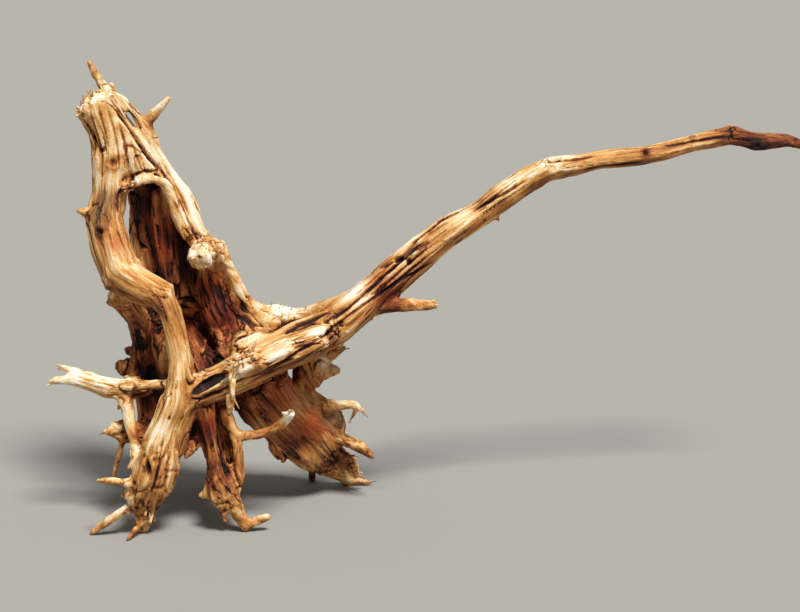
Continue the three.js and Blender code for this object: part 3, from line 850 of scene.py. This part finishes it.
class DRIFTWOOD_OT_wood(bpy.types.Operator):
    """Grow the weathered skin of the wood over the solid"""

    bl_idname = "driftwood.wood"
    bl_label = "Wood"

    def execute(self, context):
        look = context.scene.driftwood_wood
        guide_points, guide_values = grain_guide(look)
        wood = fair_skin(look)
        mesh = wood.data
        points = read_points(mesh)
        normals = read_normals(mesh)
        carried = smoothed(carry(guide_values, guide_points, points), averager(mesh), 12)
        middle = carried[:, :3]
        hidden = carried[:, 3]
        thick = carried[:, 4]
        places = points / MM
        grain = places - middle + GRAIN_DRIFT * places
        polished = near(places, SMOOTH_PLACES)
        strength = np.clip(thick / 20, 0.12, 1) * (1 - 0.6 * polished)

        # Relief: ridges and threads along the grain, swellings, drying cracks, pits, knots and carved lines.
        uneven = field(places, 5.0, 91.3)
        valleys = np.abs(field(grain, 7.0, 3.1))
        threads = np.abs(field(grain, 3.0, 17.7))
        broad = field(places, 21.0, 40.3)
        swelling = np.clip(field(places, 30.0, 77.7) + 0.12, 0, 1)
        wall = walls(grain, normals, 10.0, 61.9)
        crack = 1 - step(0.3, 1.0, wall / (0.2 + 1.6 * swelling))
        crack *= step(0.02, 0.12, swelling) * (1 - 0.85 * polished) * step(10, 19, thick)
        pitted = near(places, PITTED_PLACES)
        pits = step(0.16, 0.42, field(places, 4.4, 9.4)) * np.sqrt(pitted * strength)
        depth, dark_line = carved(places, normals, uneven)
        knot_ring, knot_core = knot_marks(places, uneven)
        height = look.ridge_depth * strength * (1.8 * valleys + 0.8 * threads - 0.75)
        height += look.lump_depth * strength * broad
        height -= look.crack_depth * strength * crack
        height -= look.pit_depth * pits
        height += look.knot_height * (knot_ring - 1.2 * knot_core)
        height -= depth * MM
        height += look.twig_growth * (1 - step(2, 7, thick))
        write_points(mesh, points + normals * height[:, None])

        # Tone, from 0 in the blackest crack to 1 on the palest ridge: broad places first, then each mark.
        # Painted shade darkens the sheltered wood, and faces that point up are painted lighter.
        # Bleaching, with painted light on the upper side of the long branch and on the rear chunk.
        bleach_and_light = near(places, BLEACHED_AND_LIT_PLACES)
        # Painted shade in the hollow and under the right root, and a darker tone at the other dark places.
        dark = near(places, DARK_AND_SHADED_PLACES)
        heart = near(places, HEARTWOOD_PLACES)
        # Painted shade: points that look at much of the wood around them are painted darker, and redder
        # through the heart attribute.
        shade = step(0.16, 0.6, hidden)
        upward = normals[:, 2]
        tone = 0.55 + 0.13 * upward + 0.40 * bleach_and_light - 0.32 * shade - 0.44 * dark * (0.75 + 0.25 * shade)
        tone += 0.14 * field(places, 42.0, 5.5) + 0.10 * field(places, 14.0, 25.5)
        tone = np.where(tone > 0.76, 0.76 + 0.7 * (tone - 0.76), tone)
        tone += (0.46 * (valleys - 0.2) + 0.28 * (threads - 0.2)) * (1 - 0.55 * polished)
        tone -= 0.60 * crack + 0.40 * pits + 0.85 * dark_line + 0.55 * knot_core + 0.22 * knot_ring
        keep(mesh, "grain", grain)
        keep(mesh, "tone", tone)
        keep(mesh, "thick", step(9, 20, thick) * (1 - 0.8 * polished))
        # The heart attribute reddens the heartwood places and also carries painted shade from the sheltered
        # and darkened places.
        keep(mesh, "heart", np.clip(0.9 * heart + 0.7 * shade + 0.4 * dark - 0.6 * bleach_and_light, 0, 1))
        keep(mesh, "grey", 0.6 * near(places, GREY_PLACES))

        faces = sum(len(face.vertices) - 2 for face in mesh.polygons)
        apply_modifier(wood, "DECIMATE", ratio=min(1.0, look.triangles / faces))
        wood.data.shade_smooth()
        wood.data.materials.append(weathered_wood(look))
        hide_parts(NODE)
        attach(wood, "root")
        return {"FINISHED"}


def grow_fibre(shell, stand, long, broad, bend, sunk):
    """Adds one flat, bent, blunt fibre in millimetres, and gives the number of its points."""
    flatness = 0.45
    whole = long + sunk
    done = len(shell.verts)
    bmesh.ops.create_cone(shell, cap_ends=True, segments=5, radius1=broad, radius2=broad * 0.5, depth=whole)
    sides = {edge for vertex in list(shell.verts)[done:] for edge in vertex.link_edges}
    tall = [edge for edge in sides if edge.calc_length() > 0.8 * whole]
    bmesh.ops.subdivide_edges(shell, edges=tall, cuts=2)
    fibre = list(shell.verts)[done:]
    for vertex in fibre:
        share = vertex.co.z / whole + 0.5
        vertex.co.x = vertex.co.x * flatness + bend * share * share
        vertex.co.z += 0.5 * (long - sunk)
    bmesh.ops.transform(shell, matrix=stand, verts=fibre)
    return len(fibre)


class DRIFTWOOD_OT_splinters(bpy.types.Operator):
    """Set tufts of torn fibres on the broken places"""

    bl_idname = "driftwood.splinters"
    bl_label = "Splinters"

    def execute(self, context):
        look = context.scene.driftwood_splinters
        chance = random.Random(look.seed)
        wood = bpy.data.objects["driftwood_wood"]
        shell = bmesh.new()
        tones = []
        shifts = []
        for foot, way, length, width, count, spread in TUFTS:
            for _ in range(count):
                stray = Vector([chance.uniform(-1, 1) for _ in range(3)])
                found, skin, outward, _ = wood.closest_point_on_mesh((Vector(foot) + stray * spread) * MM)
                if not found:
                    raise RuntimeError("a tuft of fibres found no wood")
                start = skin / MM
                heading = (Vector(way).normalized() + stray * 0.2 + outward * 0.15).normalized()
                long = length * chance.uniform(0.55, 1.15)
                broad = look.girth * width * chance.uniform(0.3, 0.6)
                bend = long * chance.uniform(-0.25, 0.25)
                turn = heading.to_track_quat("Z", "X").to_matrix().to_4x4()
                stand = Matrix.Translation(start) @ turn
                corners = grow_fibre(shell, stand, long, broad, bend, look.sunk / MM)
                tones += [chance.uniform(look.darkest, look.palest)] * corners
                shifts += [chance.uniform(0, 50)] * corners
        bmesh.ops.recalc_face_normals(shell, faces=shell.faces)
        bmesh.ops.scale(shell, vec=(MM, MM, MM), verts=shell.verts)
        mesh = bpy.data.meshes.new("driftwood_splinters")
        shell.to_mesh(mesh)
        shell.free()
        grain = read_points(mesh) / MM * 0.4 + np.array(shifts)[:, None]
        keep(mesh, "grain", grain)
        keep(mesh, "tone", np.array(tones))
        for name in ("heart", "grey", "thick"):
            keep(mesh, name, np.zeros(len(mesh.vertices)))
        mesh.shade_smooth()
        mesh.materials.append(bpy.data.materials[WOOD_FINISH])
        splinters = link(bpy.data.objects.new("driftwood_splinters", mesh))
        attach(splinters, "root")
        return {"FINISHED"}


class DRIFTWOOD_OT_stage(bpy.types.Operator):
    """Set the floor, the lights and the camera"""

    bl_idname = "driftwood.stage"
    bl_label = "Stage"

    def execute(self, context):
        stage = context.scene.driftwood_stage
        scene = context.scene
        scene.view_settings.view_transform = "Standard"

        floor_mesh = bpy.data.meshes.new("floor")
        sheet = bmesh.new()
        bmesh.ops.create_grid(sheet, x_segments=1, y_segments=1, size=9.0)
        sheet.to_mesh(floor_mesh)
        sheet.free()
        floor = link(bpy.data.objects.new("floor", floor_mesh))
        # Matt pale paint that gives the eye a plain, even ground.
        material, _, shader = new_material("painted_floor")
        shader.inputs["Base Color"].default_value = stage.floor_colour
        shader.inputs["Roughness"].default_value = 0.9
        floor_mesh.materials.append(material)

        target = Vector(stage.target)
        key = bpy.data.lights.new("key", "SUN")
        key.energy = stage.key_strength
        key.angle = stage.key_softness
        key.color = stage.key_colour[:3]
        key_lamp = link(bpy.data.objects.new("key", key))
        key_lamp.rotation_euler = Vector(stage.key_way).to_track_quat("-Z", "Y").to_euler()

        world = bpy.data.worlds.new("studio")
        world.use_nodes = True
        sky = world.node_tree.nodes["Background"]
        sky.inputs["Color"].default_value = stage.sky_colour
        sky.inputs["Strength"].default_value = stage.sky_strength
        scene.world = world

        camera = bpy.data.cameras.new("camera")
        camera.sensor_width = 36.0
        camera.lens = 100.0
        seen = link(bpy.data.objects.new("camera", camera))
        back = Vector((0, -math.cos(stage.elevation), math.sin(stage.elevation)))
        seen.location = target + back * stage.distance
        seen.rotation_euler = (math.pi / 2 - stage.elevation, 0, 0)
        scene.camera = seen
        return {"FINISHED"}


class DRIFTWOOD_PT_panel(bpy.types.Panel):
    """Lists the pieces of the driftwood and its stage"""

    bl_label = "Driftwood"
    bl_idname = "DRIFTWOOD_PT_panel"
    bl_space_type = "VIEW_3D"
    bl_region_type = "UI"
    bl_category = "Driftwood"

    def draw(self, context):
        groups = (
            (context.scene.driftwood_wood, "driftwood.wood"),
            (context.scene.driftwood_splinters, "driftwood.splinters"),
            (context.scene.driftwood_stage, "driftwood.stage"),
        )
        for settings, operator in groups:
            box = self.layout.box()
            for name in settings.__annotations__:
                box.prop(settings, name)
            box.operator(operator)


SETTINGS = {
    "driftwood_wood": DriftwoodWood,
    "driftwood_splinters": DriftwoodSplinters,
    "driftwood_stage": DriftwoodStage,
}
CLASSES = (
    *SETTINGS.values(),
    DRIFTWOOD_OT_wood,
    DRIFTWOOD_OT_splinters,
    DRIFTWOOD_OT_stage,
    DRIFTWOOD_PT_panel,
)


def register():
    for entry in CLASSES:
        bpy.utils.register_class(entry)
    for name, group in SETTINGS.items():
        setattr(bpy.types.Scene, name, bpy.props.PointerProperty(type=group))


def unregister():
    for name in SETTINGS:
        delattr(bpy.types.Scene, name)
    for entry in reversed(CLASSES):
        bpy.utils.unregister_class(entry)


def main():
    register()
    bpy.ops.driftwood.wood()
    bpy.ops.driftwood.splinters()
    bpy.ops.driftwood.stage()


if __name__ == "__main__":
    main()
